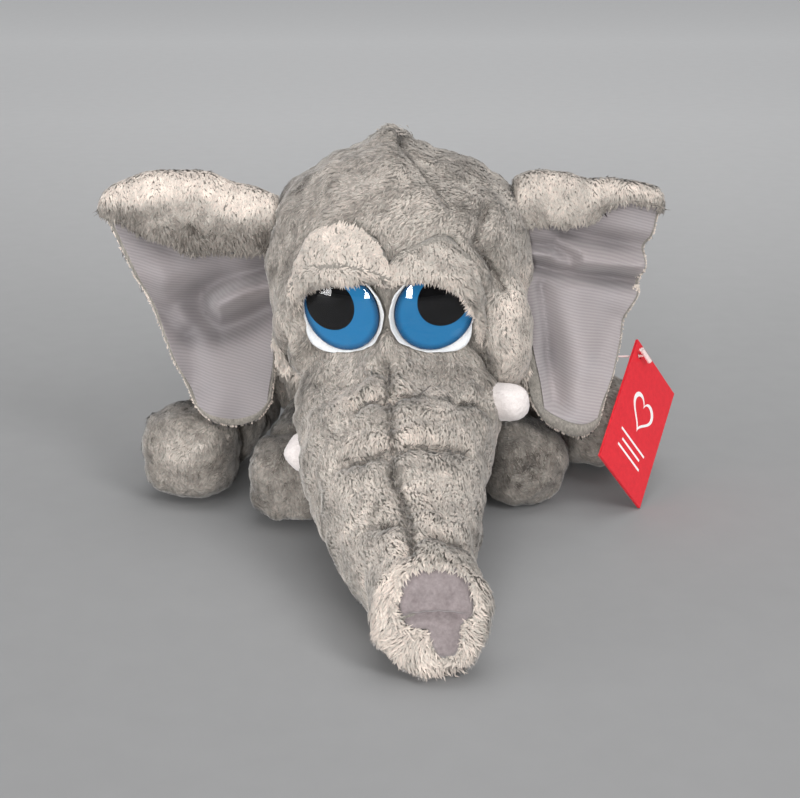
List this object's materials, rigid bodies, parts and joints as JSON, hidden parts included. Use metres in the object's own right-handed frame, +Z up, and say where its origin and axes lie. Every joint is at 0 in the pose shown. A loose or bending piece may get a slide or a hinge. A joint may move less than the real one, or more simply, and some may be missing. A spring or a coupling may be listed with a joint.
{
  "type": "stuffed elephant toy",
  "caption": "Sitting plush elephant with large glossy eyes, folded ears, felt tusks and a long trunk that rests on the table in front.",
  "frame": {"origin": "centre of the underside of the whole toy's box, on the surface it sits on", "axes": "+Z up, -Y the way the face and trunk point, +X to the viewer's right when facing the toy"},
  "size_m": [0.2632, 0.328, 0.168],
  "materials": {
    "grey_plush": "short frosted pile",
    "ribbed_lining": "fine ribbed knit, matt",
    "white_felt": "matt felt",
    "fibre_filling": "loose polyester fibre",
    "pouch_cloth": "plain woven",
    "plastic_pellets": "small round pellets",
    "label_ribbon": "satin ribbon, blank",
    "clear_plastic": "clear, polished",
    "blue_plastic": "painted, seen through the dome",
    "black_plastic": "painted, seen through the dome",
    "white_plastic": "moulded",
    "red_card": "coated red front, pale edge",
    "fastener_plastic": "clear moulded filament"
  },
  "bodies": {
    "torso": {"torso_skin": "grey_plush", "torso_stuffing": "fibre_filling", "bean_pouch": "pouch_cloth", "bean_pellets": "plastic_pellets", "care_label": "label_ribbon"},
    "neck": {"neck_wad": "fibre_filling"},
    "head": {"head_skin": "grey_plush", "head_stuffing": "fibre_filling", "left_eye_felt": "white_felt", "left_eye_back_plate": "white_plastic", "left_eye_iris": "blue_plastic", "left_eye_pupil": "black_plastic", "left_eye_dome": "clear_plastic", "left_eye_washer": "white_plastic", "left_eyelid": "grey_plush", "right_eye_felt": "white_felt", "right_eye_back_plate": "white_plastic", "right_eye_iris": "blue_plastic", "right_eye_pupil": "black_plastic", "right_eye_dome": "clear_plastic", "right_eye_washer": "white_plastic", "right_eyelid": "grey_plush", "left_tusk_felt": "white_felt", "left_tusk_stuffing": "fibre_filling", "right_tusk_felt": "white_felt", "right_tusk_stuffing": "fibre_filling"},
    "trunk": {"trunk_skin": "grey_plush", "trunk_stuffing": "fibre_filling", "nostril_pad": "ribbed_lining"},
    "left_ear": {"left_ear_back": "grey_plush", "left_ear_lining": "ribbed_lining"},
    "right_ear": {"right_ear_back": "grey_plush", "right_ear_lining": "ribbed_lining", "tag_pin": "fastener_plastic"},
    "tag": {"hang_tag": "red_card"},
    "left_front_leg": {"left_front_leg_skin": "grey_plush", "left_front_leg_stuffing": "fibre_filling"},
    "right_front_leg": {"right_front_leg_skin": "grey_plush", "right_front_leg_stuffing": "fibre_filling"},
    "left_rear_leg": {"left_rear_leg_skin": "grey_plush", "left_rear_leg_stuffing": "fibre_filling"},
    "right_rear_leg": {"right_rear_leg_skin": "grey_plush", "right_rear_leg_stuffing": "fibre_filling"},
    "tail": {"tail_tube": "grey_plush", "tail_tuft": "grey_plush"}
  },
  "joints": [
    {"name": "head_turn", "type": "hinge", "parent": "torso", "child": "neck", "pos_m": [-0.0014, 0.01875, 0.108], "axis": [0, 0, 1], "range_deg": [-5, 5], "stiffness_Nm_per_rad": 0.2},
    {"name": "head_nod", "type": "hinge", "parent": "neck", "child": "head", "pos_m": [-0.0014, 0.01875, 0.108], "axis": [-1, 0, 0], "range_deg": [0, 16], "stiffness_Nm_per_rad": 0.2},
    {"name": "trunk_lift", "type": "hinge", "parent": "head", "child": "trunk", "pos_m": [-0.0019, -0.07525, 0.04], "axis": [-1, 0, 0], "range_deg": [0, 25], "stiffness_Nm_per_rad": 0.06},
    {"name": "left_ear_fold", "type": "hinge", "parent": "head", "child": "left_ear", "pos_m": [-0.0629, 0.01075, 0.09], "axis": [0, 0, 1], "range_deg": [-6, 28], "stiffness_Nm_per_rad": 0.01},
    {"name": "right_ear_fold", "type": "hinge", "parent": "head", "child": "right_ear", "pos_m": [0.0601, 0.01075, 0.09], "axis": [0, 0, -1], "range_deg": [-6, 24], "stiffness_Nm_per_rad": 0.01},
    {"name": "tag_swing", "type": "hinge", "parent": "right_ear", "child": "tag", "pos_m": [0.11071, 0.01767, 0.06377], "axis": [0.7841, -0.5615, 0.2644], "range_deg": [-10, 10]},
    {"name": "left_front_leg_swing", "type": "hinge", "parent": "torso", "child": "left_front_leg", "pos_m": [-0.03954, 0.02831, 0.032], "axis": [0.9848, 0.1736, 0], "range_deg": [0, 30], "stiffness_Nm_per_rad": 0.05},
    {"name": "right_front_leg_swing", "type": "hinge", "parent": "torso", "child": "right_front_leg", "pos_m": [0.0294, 0.04046, 0.032], "axis": [0.9848, 0.1736, 0], "range_deg": [0, 30], "stiffness_Nm_per_rad": 0.05},
    {"name": "left_rear_leg_spread", "type": "hinge", "parent": "torso", "child": "left_rear_leg", "pos_m": [-0.07542, 0.07174, 0.024], "axis": [0, 0, -1], "range_deg": [0, 25], "stiffness_Nm_per_rad": 0.05},
    {"name": "right_rear_leg_spread", "type": "hinge", "parent": "torso", "child": "right_rear_leg", "pos_m": [0.04827, 0.09355, 0.024], "axis": [0, 0, 1], "range_deg": [0, 25], "stiffness_Nm_per_rad": 0.05},
    {"name": "tail_swing", "type": "hinge", "parent": "torso", "child": "tail", "pos_m": [-0.02417, 0.14271, 0.042], "axis": [0, 0, 1], "range_deg": [-35, 35], "stiffness_Nm_per_rad": 0.004}
  ]
}
